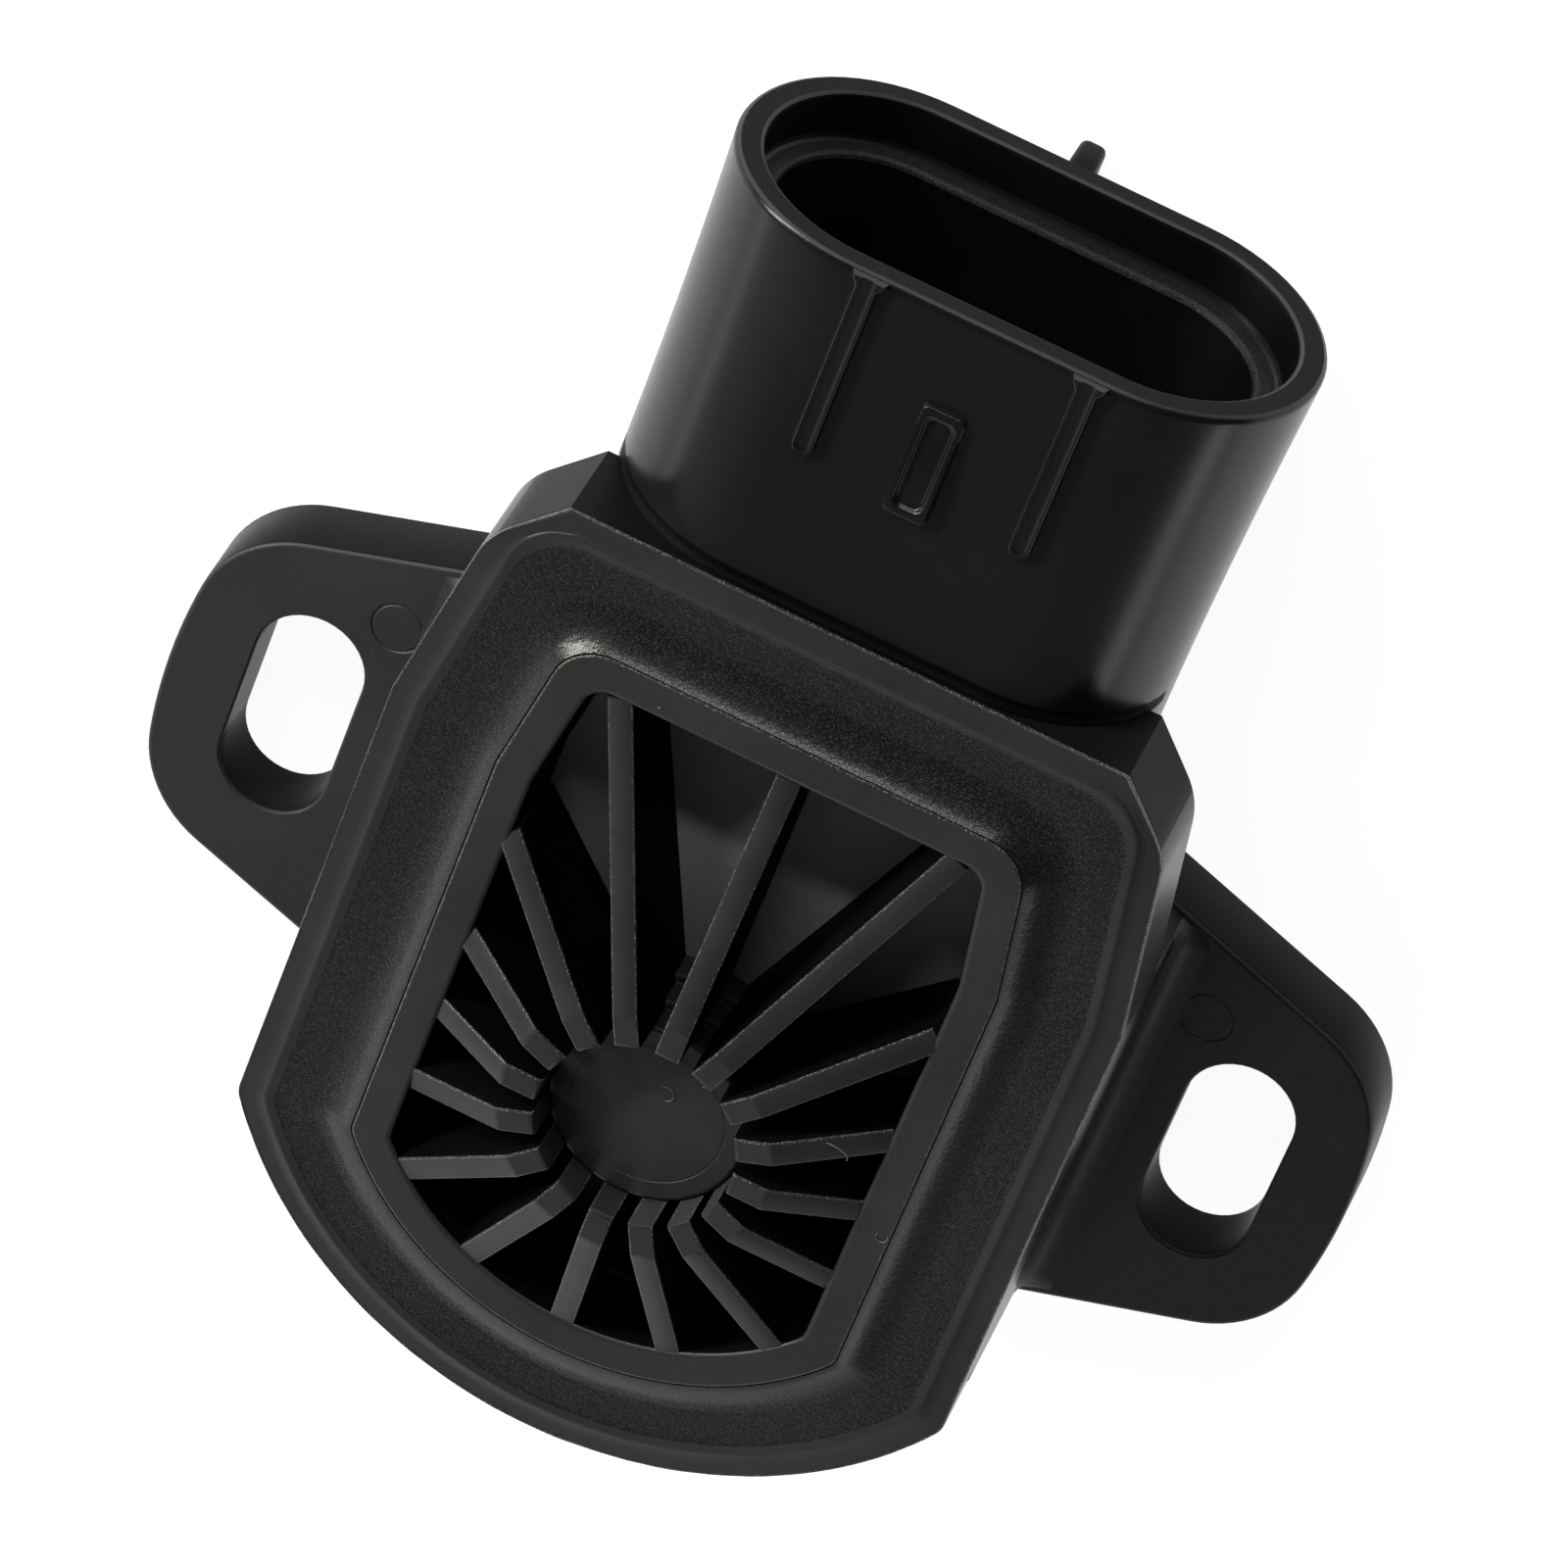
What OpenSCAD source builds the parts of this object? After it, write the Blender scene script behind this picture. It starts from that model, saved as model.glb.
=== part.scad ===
// Throttle position sensor: a moulded housing with a ribbed face, two slotted
// ears and an oval plug socket. A sprung rotor inside sweeps a wiper over a
// printed track. The origin is on the rotor axis at the mounting face, with
// +Z out of the ribbed face and +Y towards the mouth of the socket.

/* [Face] */
// Width of the body across its flat sides
body_w = 30.1; // [29.5:0.1:34]
// Radius of the round end, about the rotor axis
arc_r = 17.3; // [16.8:0.1:18.4]
// Distance from the rotor axis to the straight end that carries the socket
top_y = 22.9; // [22:0.1:26]
// Height where the sides start to lean in
shoulder_y = 12; // [9:0.5:14]
// Lean of the upper sides, in degrees
lean_a = 8.9; // [6:0.1:12]
// Radius of the two upper corners
corner_r = 3.3; // [2.5:0.1:5]
// Height of the face border above the mounting face
face_z = 14.8; // [14.6:0.1:17]
// Thickness of the overhanging face plate
plate_t = 4.4; // [3.9:0.1:4.6]
// Width of the flat border round the cove
border_w = 1.5; // [1:0.1:2]
// Width of border and cove together
band_w = 4.8; // [4.4:0.1:5.2]
// Rise of the inner frame above the border
frame_rise = 0.9; // [0.6:0.1:1.4]
// Width of the flat top of the inner frame
frame_w = 1.45; // [1:0.05:1.8]
// Corner radius of the inner frame
frame_corner_r = 1.8; // [1:0.1:3]

/* [Ribs and hub] */
// Number of ribs
rib_n = 16; // [8:2:16]
// Thickness of a rib
rib_t = 1; // [0.8:0.1:1.4]
// Height of the inner ends of the ribs above the border
rib_rise = 2.8; // [2:0.1:3.4]
// Radius where a rib stops being level and slopes down to the frame
rib_bend_r = 5.5; // [5:0.1:7]
// Radius of the hub's flat top
hub_r = 3.95; // [3.6:0.05:4.4]
// Height of the hub's top above the border
hub_rise = 1.1; // [0.8:0.1:1.6]
// Growth in radius at each step of the hub
hub_step = 0.42; // [0.3:0.02:0.5]
// Depth of the ribbed pocket below the border
pocket_depth = 2.7; // [2.4:0.1:2.9]

/* [Mounting ears] */
// Thickness of the mounting flange
flange_t = 3.1; // [2.5:0.1:4]
// Radius of the round middle of the flange
flange_r = 14.4; // [14:0.1:15]
// Radius of the ears' round ends, about the rotor axis
ear_reach = 25.4; // [24.8:0.1:28]
// Radius of the ears' corners
ear_corner_r = 5; // [3.5:0.1:5.5]
// Slope of the ears' straight edges, in degrees
ear_slope = 19; // [14:0.5:22]
// Distance between the middles of the two slots
slot_pitch = 40; // [39.4:0.2:42]
// Width of a slot, for an M4 screw
slot_w = 4.5; // [4.2:0.1:5]
// Length of a slot from end to end
slot_l = 9.5; // [7:0.1:10]
// Radius of the moulding tool's round marks on the ears
mark_r = 1.05; // [0.8:0.05:1.4]
// Depth of those marks
mark_depth = 0.15; // [0.1:0.05:0.3]
// Place of the marks beside the slots, across the ears
mark_x = 17.3; // [16.6:0.1:17.8]
// Place of the marks along the ears
mark_y = 6; // [5.6:0.1:6.2]

/* [Plug socket] */
// Outer width of the oval socket
socket_w = 23.1; // [22.6:0.1:23.8]
// Outer height of the oval socket
socket_h = 12.8; // [12.2:0.1:13]
// Depth of the socket's axis below the face border
socket_drop = 6.5; // [6.4:0.05:6.9]
// Distance from the rotor axis to the mouth
mouth_y = 37.5; // [35:0.5:44]
// Wall at the mouth
rim_t = 1.15; // [0.9:0.05:1.3]
// Depth of the wide mouth recess that the plug's seal fills
seal_depth = 2; // [1.5:0.1:3]
// Width of the ledge at the foot of the mouth recess
ledge_w = 1; // [0.6:0.1:1.3]
// Distance from the rotor axis to the socket's floor
socket_floor_y = 24.9; // [24:0.1:27]
// Distance between the two guide ribs on the socket
guide_pitch = 8.6; // [7:0.2:11]
// Width of a guide rib
guide_w = 0.95; // [0.7:0.05:1.4]
// Height of a guide rib
guide_h = 0.35; // [0.2:0.05:0.5]
// Length of a guide rib from the mouth
guide_l = 8; // [5:0.5:9]
// Width of the locking ramp
ramp_w = 1.75; // [1.4:0.05:3]
// Height of the locking ramp
ramp_h = 0.6; // [0.4:0.1:1.2]
// Distance from the mouth to the start of the locking ramp
ramp_start = 3.8; // [3:0.1:5]
// Length of the locking ramp
ramp_l = 5; // [3:0.1:5.5]
// Width of the coding fin on the back of the socket
fin_w = 1.1; // [0.8:0.1:1.8]
// Height of the coding fin
fin_h = 1.9; // [1.4:0.1:2]
// Length of the coding fin from the mouth
fin_l = 6; // [4:0.5:10]

/* [Terminals] */
// Distance between neighbouring blades
blade_pitch = 5; // [4.8:0.1:5.2]
// Width of a blade
blade_w = 2.8; // [2.4:0.1:2.9]
// Thickness of a blade
blade_t = 0.8; // [0.6:0.05:1]
// Setback of the blade tips from the mouth
blade_setback = 4; // [3:0.1:6]
// Distance from the rotor axis to the blades' inner ends
blade_in_y = 7.6; // [7.4:0.1:7.9]

/* [Works] */
// Radius of the chamber behind the ribbed face
chamber_r = 10.8; // [10.6:0.1:11]
// Radius of the recess that takes the back cover
cover_r = 11.2; // [11.1:0.1:11.5]
// Depth of the back cover's outer face below the mounting face
cover_z = 1.6; // [1.5:0.1:1.9]
// Thickness of the back cover
cover_t = 1.2; // [0.9:0.1:1.4]
// Gap round the back cover's edge, which the adhesive fills
cover_gap = 0.05; // [0.02:0.01:0.1]
// Radius of the rotor's sleeve, which runs in the cover
sleeve_r = 5.6; // [5.4:0.1:6]
// Radius of the throttle shaft's end that the rotor takes
drive_r = 4; // [3.5:0.1:4.1]
// Distance from the axis to the flat of the throttle shaft's end
drive_flat = 3.1; // [2.8:0.05:3.3]
// Clearance between the throttle shaft's end and its seat
drive_gap = 0.05; // [0.03:0.01:0.08]
// Radius of the rotor's pivot
pivot_r = 2.4; // [2:0.1:2.6]
// Running clearance round the pivot and the sleeve
run_gap = 0.05; // [0.03:0.01:0.08]
// Radius of the rotor's disc
disc_r = 9.5; // [9:0.1:9.6]
// Thickness of the rotor's disc
disc_t = 1.6; // [1.4:0.1:1.7]
// Height of the disc's upper face
disc_z = 6.6; // [6.5:0.1:6.7]
// Travel between the stops, in degrees
travel_a = 95; // [80:1:100]
// Thickness of the element board
board_t = 0.8; // [0.6:0.1:0.9]
// Thickness of the printed tracks
track_t = 0.08; // [0.05:0.01:0.1]
// Middle radius of the resistive track
track_r = 6.2; // [6.1:0.05:6.3]
// Width of the resistive track
track_w = 1.2; // [1:0.1:1.3]
// Middle radius of the collector track
collector_r = 4.6; // [4.5:0.05:4.7]
// Width of the collector track
collector_w = 1; // [0.8:0.1:1.1]
// Diameter of the return spring's wire
wire_d = 0.6; // [0.5:0.05:0.65]
// Middle radius of the return spring
coil_r = 7.4; // [7:0.1:8.4]
// Turns of the return spring
coil_turns = 2.5; // [2:0.25:3]

/* [Hidden] */
$fn = 96;
eps = 0.01;
tuck = 0.02;

plate_z = face_z - plate_t;
frame_z = face_z + frame_rise;
rib_z = face_z + rib_rise;
hub_z = face_z + hub_rise;
pocket_z = face_z - pocket_depth;
socket_z = face_z - socket_drop;
opening_d = band_w + frame_w;
hub_foot_r = hub_r + 2 * hub_step;
hub_drop = (hub_z - pocket_z) / 3;

// The rotor's pivot runs in a blind bore up inside the hub.
pivot_z = hub_z - 1.9;
bore_z = pivot_z + 0.4;
boss_r = pivot_r + 0.9;
shoulder_t = 0.4;
washer_t = 0.55;
boss_z = disc_z + shoulder_t + washer_t + run_gap;
rotor_z = 0.6;
drive_depth = 5.2;
clip_w = 2.8;
clip_x = drive_flat + drive_gap + 0.8;

// The board lies against the chamber's ceiling, over two pegs.
board_z = plate_z - board_t;
track_z = board_z - track_t;
board_r = chamber_r - 0.2;
board_in_r = boss_r + 0.3;
peg_r = 0.7;
peg_ring = board_r - 1.2;
peg_angles = [228, 312];
pad_l = 1.1;
pad_y = blade_in_y + 0.1;
pad_w = 2;
track_out = track_r + track_w / 2;
track_start = 180 - acos(blade_pitch / track_out) + 1;

// The wiper's base lies on the disc, and its fingers reach up to the tracks.
wiper_a = 175;
wiper_t = 0.2;
finger_w = 0.35;
finger_l = 3;
finger_y = -2.2;
tip_r = 0.22;
track_gap = 0.04;
rivet_r = 0.5;
rivet_head_r = 0.85;
rivet_ring = 7.6;
rivet_angles = [wiper_a - 14, wiper_a + 14];

// A lug on the disc's rim meets two stops on the chamber's wall.
lug_a = 205;
lug_w = 1.4;
lug_r = chamber_r - 0.35;
stop_half_a = 2 * asin(lug_w / 2 / disc_r) + 0.6;
stop_z = [disc_z - disc_t - 0.6, disc_z + 1];

// The rubber rings outside the back cover.
seal_w = 1.6;
seal_t = 0.8;
collar_t = 0.7;
oring_d = cover_z;
oring_r = cover_r - oring_d / 2 - 0.05;

// Outline of the face, inset by d, with upper corners of radius r.
module face_outline(d, r) {
    w = body_w / 2 - d;
    lean_d = cos(lean_a) * body_w / 2 + sin(lean_a) * shoulder_y - d;
    y_lean = (lean_d - w * cos(lean_a)) / sin(lean_a);
    cy = top_y - d - r;
    cx = (lean_d - r - cy * sin(lean_a)) / cos(lean_a);
    intersection() {
        circle(arc_r - d, $fn = 180);
        translate([-w, -arc_r]) square([2 * w, arc_r + 1]);
    }
    polygon([[-w, 0], [w, 0], [w, y_lean],
             [cx + r * cos(lean_a), cy + r * sin(lean_a)], [cx, cy + r],
             [-cx, cy + r], [-cx - r * cos(lean_a), cy + r * sin(lean_a)], [-w, y_lean]]);
    for (s = [-1, 1]) translate([s * cx, cy]) circle(r);
}

// Distance from the axis to the edge of the outline inset by d, at angle a.
function lean_reach(d, a) =
    (cos(lean_a) * body_w / 2 + sin(lean_a) * shoulder_y - d)
    / (abs(cos(a)) * cos(lean_a) + sin(a) * sin(lean_a));
function side_reach(d, a) = (body_w / 2 - d) / max(abs(cos(a)), 0.001);
function reach(d, a) = sin(a) < 0
    ? min(side_reach(d, a), arc_r - d)
    : min(side_reach(d, a), lean_reach(d, a), (top_y - d) / max(sin(a), 0.001));

// Outline of the two-eared flange: a round middle, straight edges that touch
// it, and ears with round ends about the axis and two rounded corners each.
// The tuck sinks each straight edge a little into the arcs at its ends.
module flange_outline() {
    n = [sin(ear_slope), cos(ear_slope)];
    along = [cos(ear_slope), -sin(ear_slope)];
    inner = flange_r - ear_corner_r;
    c = inner * n + sqrt(pow(ear_reach - ear_corner_r + tuck, 2) - inner * inner) * along;
    end_a = atan2(c[1], c[0]);
    edge = c + (ear_corner_r - tuck) * n;
    touch = (flange_r - tuck) * n;
    reach = 2 * ear_reach * [cos(end_a), sin(end_a)];
    right = [touch, edge, c, [c[0], -c[1]], [edge[0], -edge[1]], [touch[0], -touch[1]]];
    left = [for (i = [5:-1:0]) [-right[i][0], right[i][1]]];
    circle(flange_r, $fn = 180);
    polygon(concat(right, left));
    for (sx = [-1, 1]) {
        intersection() {
            circle(ear_reach, $fn = 180);
            polygon([[0, 0], [sx * reach[0], -reach[1]], [sx * reach[0], reach[1]]]);
        }
        for (sy = [-1, 1]) translate([sx * c[0], sy * c[1]]) circle(ear_corner_r);
    }
}

// Oval of width w and height h, drawn in the plane of the socket's mouth.
module oval(w, h) {
    square([w - h, h], center = true);
    for (s = [-1, 1]) translate([s * (w - h) / 2, 0]) circle(h / 2);
}

// A length of oval bar along Y, from y0 to y1, on the socket's axis.
module oval_bar(w, h, y0, y1) {
    translate([0, y1, socket_z]) rotate([90, 0, 0])
        linear_extrude(y1 - y0) oval(w, h);
}

// A straight slot through an ear.
module ear_slot(x) {
    translate([x, 0, -1]) linear_extrude(flange_t + 2) {
        square([slot_w, slot_l - slot_w], center = true);
        for (s = [-1, 1]) translate([0, s * (slot_l - slot_w) / 2]) circle(slot_w / 2);
    }
}

// One rib: level near the hub, then sloping down to the frame.
module rib(a) {
    r_out = reach(opening_d, a);
    r_in = hub_r + 0.03;
    rotate([90, 0, a]) translate([0, 0, -rib_t / 2]) linear_extrude(rib_t)
        polygon([[hub_r - 0.6, pocket_z - 0.3], [r_out + 0.5, pocket_z - 0.3],
                 [r_out + 0.5, frame_z], [r_out, frame_z], [rib_bend_r, rib_z],
                 [r_in, rib_z], [r_in, hub_z - 0.5], [hub_r - 0.6, hub_z - 0.5]]);
}

// The solid hub in the middle of the ribs, in three steps.
module hub() {
    for (i = [0:2])
        translate([0, 0, pocket_z - 0.3])
            cylinder(r = hub_r + i * hub_step, h = hub_z - i * hub_drop - pocket_z + 0.3);
}

module face_plate() {
    translate([0, 0, plate_z]) linear_extrude(plate_t) face_outline(0, corner_r);
    // The cove rises to the frame in two low steps.
    translate([0, 0, plate_z]) linear_extrude(plate_t + frame_rise * 0.3)
        face_outline(border_w + (band_w - border_w) * 0.6, frame_corner_r + 1);
    translate([0, 0, plate_z]) linear_extrude(plate_t + frame_rise * 0.65)
        face_outline(border_w + (band_w - border_w) * 0.82, frame_corner_r + 0.5);
    translate([0, 0, plate_z]) linear_extrude(plate_t + frame_rise)
        face_outline(band_w, frame_corner_r);
}

module socket_shell() {
    difference() {
        union() {
            oval_bar(socket_w, socket_h, chamber_r - 2.5, mouth_y);
            front = socket_z + socket_h / 2;
            for (s = [-1, 1])
                translate([s * guide_pitch / 2, 0, front - 0.5]) {
                    translate([-guide_w / 2, mouth_y - guide_l, 0])
                        cube([guide_w, guide_l, guide_h + 0.5]);
                    translate([0, mouth_y - guide_l, 0])
                        cylinder(r = guide_w / 2, h = guide_h + 0.5);
                }
            translate([-ramp_w / 2, mouth_y - ramp_start, front]) rotate([90, 0, 90])
                linear_extrude(ramp_w)
                    polygon([[0, -0.5], [0, 0.1], [-ramp_l * 0.6, ramp_h],
                             [-ramp_l, ramp_h], [-ramp_l, -0.5]]);
            back = socket_z - socket_h / 2;
            translate([-fin_w / 2, mouth_y - fin_l, back - fin_h + fin_w / 2])
                cube([fin_w, fin_l, fin_h + 0.5 - fin_w / 2]);
            translate([0, mouth_y, back - fin_h + fin_w / 2]) rotate([90, 0, 0])
                cylinder(r = fin_w / 2, h = fin_l);
        }
        oval_bar(socket_w - 2 * rim_t, socket_h - 2 * rim_t, mouth_y - seal_depth, mouth_y + 1);
        oval_bar(socket_w - 2 * (rim_t + ledge_w), socket_h - 2 * (rim_t + ledge_w),
                 socket_floor_y, mouth_y);
    }
}

module blade(x, grow = 0) {
    tip_y = mouth_y - blade_setback;
    translate([x, 0, socket_z - blade_t / 2]) linear_extrude(blade_t)
        polygon([[-blade_w / 2, blade_in_y - grow], [blade_w / 2, blade_in_y - grow],
                 [blade_w / 2, tip_y - 1.2], [blade_w / 4, tip_y],
                 [-blade_w / 4, tip_y], [-blade_w / 2, tip_y - 1.2]]);
}

// A lug of radial reach r0 to r1 at angle a, between two heights.
module wall_lug(a, r0, r1, z) {
    rotate([0, 0, a]) translate([r0, -lug_w / 2, z[0]]) cube([r1 - r0, lug_w, z[1] - z[0]]);
}

module housing() {
    color([0.12, 0.12, 0.13]) difference() {
        union() {
            difference() {
                union() {
                    face_plate();
                    linear_extrude(flange_t) flange_outline();
                    linear_extrude(plate_z + 0.1) intersection() {
                        flange_outline();
                        square([body_w, 2 * arc_r], center = true);
                    }
                    socket_shell();
                }
                translate([0, 0, pocket_z]) linear_extrude(pocket_depth + frame_rise + 1)
                    face_outline(opening_d, 1);
                translate([0, 0, -1]) cylinder(r = cover_r, h = cover_z + cover_t + 1, $fn = 180);
                translate([0, 0, -1]) cylinder(r = chamber_r, h = plate_z + 1, $fn = 180);
            }
            for (i = [0:rib_n - 1]) rib(90 - i * 360 / rib_n);
            hub();
            translate([0, 0, boss_z]) cylinder(r = boss_r, h = pocket_z - boss_z);
            for (a = peg_angles) rotate([0, 0, a]) translate([peg_ring, 0, 0]) {
                translate([0, 0, board_z - 0.5]) cylinder(r = peg_r, h = plate_z - board_z + 1);
                translate([0, 0, board_z - 0.5]) cylinder(r = peg_r + 0.35, h = 0.5);
            }
            wall_lug(lug_a - stop_half_a, disc_r + 0.2, chamber_r + 0.5, stop_z);
            wall_lug(lug_a + travel_a + stop_half_a, disc_r + 0.2, chamber_r + 0.5, stop_z);
        }
        cylinder(r = pivot_r + run_gap, h = bore_z);
        for (s = [-1, 0, 1]) blade(s * blade_pitch, 1);
        for (s = [-1, 1]) {
            ear_slot(s * slot_pitch / 2);
            translate([s * mark_x, mark_y, flange_t - mark_depth]) cylinder(r = mark_r, h = 1);
        }
    }
}

module rotor() {
    color([0.75, 0.72, 0.62]) difference() {
        union() {
            translate([0, 0, rotor_z]) cylinder(r = sleeve_r, h = disc_z - rotor_z);
            translate([0, 0, disc_z - disc_t]) cylinder(r = disc_r, h = disc_t, $fn = 180);
            translate([0, 0, disc_z - eps]) cylinder(r = boss_r, h = shoulder_t + eps);
            translate([0, 0, disc_z]) cylinder(r = pivot_r, h = pivot_z - disc_z);
            wall_lug(lug_a, disc_r - 1, lug_r, [disc_z - disc_t, disc_z]);
        }
        translate([0, 0, rotor_z - 1]) linear_extrude(drive_depth + 1) drive_outline();
        // The pocket behind the flat that holds the drive clip.
        translate([drive_flat, -clip_w / 2 - 0.1, rotor_z - 1])
            cube([clip_x - drive_flat, clip_w + 0.2, drive_depth + 1]);
        for (a = rivet_angles) rotate([0, 0, a]) translate([rivet_ring, 0, disc_z - disc_t + 0.4])
            cylinder(r = rivet_r, h = disc_t);
    }
}

// Outline of the throttle shaft's end with its clearance.
module drive_outline() {
    intersection() {
        circle(drive_r + drive_gap);
        translate([-drive_r - 1, -drive_r - 1])
            square([drive_r + 1 + drive_flat + drive_gap, 2 * drive_r + 2]);
    }
}

// A bowed leaf in the drive seat, which takes up the shaft's play.
module drive_clip() {
    color("silver") translate([clip_x, clip_w / 2, rotor_z + 0.3]) rotate([90, 0, 0])
        linear_extrude(clip_w) polygon([[0, 0], [-0.2, 0], [-0.7, 2.2], [-0.2, 4.4],
                                        [0, 4.4], [-0.5, 2.2]]);
}

module thrust_washer() {
    color("goldenrod") translate([0, 0, disc_z + shoulder_t]) difference() {
        cylinder(r = boss_r, h = washer_t);
        translate([0, 0, -1]) cylinder(r = pivot_r + run_gap, h = washer_t + 2);
    }
}

module wiper() {
    base_a = 72;
    r_in = collector_r - 0.45;
    color([0.85, 0.65, 0.3]) {
        difference() {
            rotate([0, 0, wiper_a - base_a / 2]) translate([0, 0, disc_z])
                rotate_extrude(angle = base_a)
                    translate([r_in, 0]) square([rivet_ring + 1.1 - r_in, wiper_t]);
            for (a = rivet_angles) rotate([0, 0, a]) translate([rivet_ring, 0, disc_z - 1])
                cylinder(r = rivet_r, h = 3);
        }
        rotate([0, 0, wiper_a]) for (r = [collector_r, track_r], s = [-1, 1])
            finger(r + s * (finger_w / 2 + 0.06));
    }
}

// One finger with its rounded tip, at radius r.
module finger(r) {
    top = track_z - track_gap - tip_r;
    translate([r - finger_w / 2, finger_y, 0]) rotate([90, 0, 90]) linear_extrude(finger_w)
        polygon([[-0.6, disc_z + 0.05], [0.2, disc_z + 0.05], [finger_l, top - 0.1],
                 [finger_l, top + 0.1], [0.1, disc_z + wiper_t + 0.15], [-0.6, disc_z + wiper_t]]);
    translate([r - finger_w / 2, finger_y + finger_l, top]) rotate([0, 90, 0])
        cylinder(r = tip_r, h = finger_w, $fn = 24);
}

module wiper_rivet(a) {
    color("silver") rotate([0, 0, a]) translate([rivet_ring, 0, 0]) {
        translate([0, 0, disc_z - disc_t + 0.4]) cylinder(r = rivet_r, h = disc_t - 0.4 + wiper_t);
        translate([0, 0, disc_z + wiper_t]) cylinder(r = rivet_head_r, h = 0.3);
    }
}

module element_board() {
    color([0.35, 0.5, 0.35]) difference() {
        translate([0, 0, board_z]) cylinder(r = board_r, h = plate_z - board_z, $fn = 180);
        cylinder(r = board_in_r, h = plate_z + 1);
        for (a = peg_angles) rotate([0, 0, a]) translate([peg_ring, 0, 0])
            cylinder(r = peg_r, h = plate_z + 1);
    }
}

// A printed band on the board's lower face, from angle a0 through da degrees.
module band(r, w, a0, da) {
    translate([0, 0, track_z]) rotate([0, 0, a0]) rotate_extrude(angle = da, $fn = 180)
        translate([r - w / 2, 0]) square([w, track_t]);
}

module resistive_track() {
    color("black") band(track_r, track_w, track_start, 540 - 2 * track_start);
}

module collector_track() {
    color([0.3, 0.3, 0.3]) band(collector_r, collector_w, 80, 340);
}

// A silver pad over a blade's end, kept inside the board's edge, with a lead to
// its track at radius r_end.
module pad(x, r_end) {
    y_end = sqrt(pow(r_end + 0.02, 2) - pow(max(0, abs(x) - 0.4), 2));
    color([0.8, 0.8, 0.8]) intersection() {
        translate([x, 0, track_z]) {
            translate([-pad_w / 2, pad_y, 0]) cube([pad_w, pad_l, track_t]);
            translate([-0.4, y_end, 0]) cube([0.8, pad_y + 0.2 - y_end, track_t]);
        }
        translate([0, 0, track_z]) cylinder(r = board_r - 0.2, h = track_t, $fn = 180);
    }
}

// A sprung bridge from a blade up to its pad.
module contact(x) {
    z0 = socket_z + blade_t / 2;
    h = track_z - z0;
    t = 0.15;
    color([0.85, 0.65, 0.3]) translate([x - 0.8, 0, z0]) rotate([90, 0, 90]) linear_extrude(1.6)
        polygon([[pad_y, 0], [pad_y + 0.9, 0], [pad_y + 0.9, t], [pad_y + 0.35, t],
                 [pad_y + 0.95, h - t], [pad_y + 0.95, h], [pad_y + 0.4, h], [pad_y, t]]);
}

// A torsion spring: a wire swept along a helix between the cover and the disc.
module return_spring() {
    z0 = cover_z + cover_t + wire_d / 2 + 0.02;
    z1 = disc_z - disc_t - wire_d / 2 - 0.05;
    sides = 8;
    steps = 24 * coil_turns;
    ring = [for (k = [0:sides - 1]) [cos(360 * k / sides), sin(360 * k / sides)] * wire_d / 2];
    points = [for (i = [0:steps]) let (u = i / steps, a = u * 360 * coil_turns)
        for (p = ring) [(coil_r + p[0]) * cos(a), (coil_r + p[0]) * sin(a), z0 + (z1 - z0) * u + p[1]]];
    sides_faces = [for (i = [0:steps - 1], k = [0:sides - 1]) let (n = (k + 1) % sides)
        [i * sides + k, i * sides + n, (i + 1) * sides + n, (i + 1) * sides + k]];
    start_face = [[for (k = [0:sides - 1]) sides - 1 - k]];
    end_face = [[for (k = [0:sides - 1]) steps * sides + k]];
    color("silver") polyhedron(points, concat(sides_faces, start_face, end_face), convexity = 8);
}

module back_cover() {
    color([0.4, 0.4, 0.45]) difference() {
        union() {
            translate([0, 0, cover_z]) cylinder(r = cover_r - cover_gap, h = cover_t, $fn = 180);
            translate([0, 0, cover_z - seal_t]) cylinder(r = sleeve_r + seal_w + collar_t, h = seal_t + eps);
        }
        translate([0, 0, -1]) cylinder(r = sleeve_r + run_gap, h = cover_z + cover_t + 2);
        translate([0, 0, -1]) cylinder(r = sleeve_r + seal_w, h = cover_z + 1);
    }
}

module rotor_seal() {
    color([0.2, 0.2, 0.2]) translate([0, 0, cover_z - seal_t]) difference() {
        cylinder(r = sleeve_r + seal_w, h = seal_t);
        translate([0, 0, -1]) cylinder(r = sleeve_r + run_gap, h = seal_t + 2);
    }
}

module face_seal() {
    color([0.15, 0.15, 0.15]) translate([0, 0, oring_d / 2])
        rotate_extrude($fn = 120) translate([oring_r, 0]) circle(oring_d / 2, $fn = 24);
}

housing();
rotor();
drive_clip();
thrust_washer();
wiper();
wiper_rivet(rivet_angles[0]);  // wiper_rivet_a
wiper_rivet(rivet_angles[1]);  // wiper_rivet_b
element_board();
resistive_track();
collector_track();
pad(-blade_pitch, track_out);  // pad_left
pad(0, collector_r + collector_w / 2);  // pad_middle
pad(blade_pitch, track_out);  // pad_right
color("silver") blade(-blade_pitch);  // terminal_left
color("silver") blade(0);  // terminal_middle
color("silver") blade(blade_pitch);  // terminal_right
contact(-blade_pitch);  // contact_left
contact(0);  // contact_middle
contact(blade_pitch);  // contact_right
return_spring();
back_cover();
rotor_seal();
face_seal();
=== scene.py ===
import math
import bpy
import bmesh
from mathutils import Matrix, Vector, noise
from mathutils.geometry import tessellate_polygon


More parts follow.
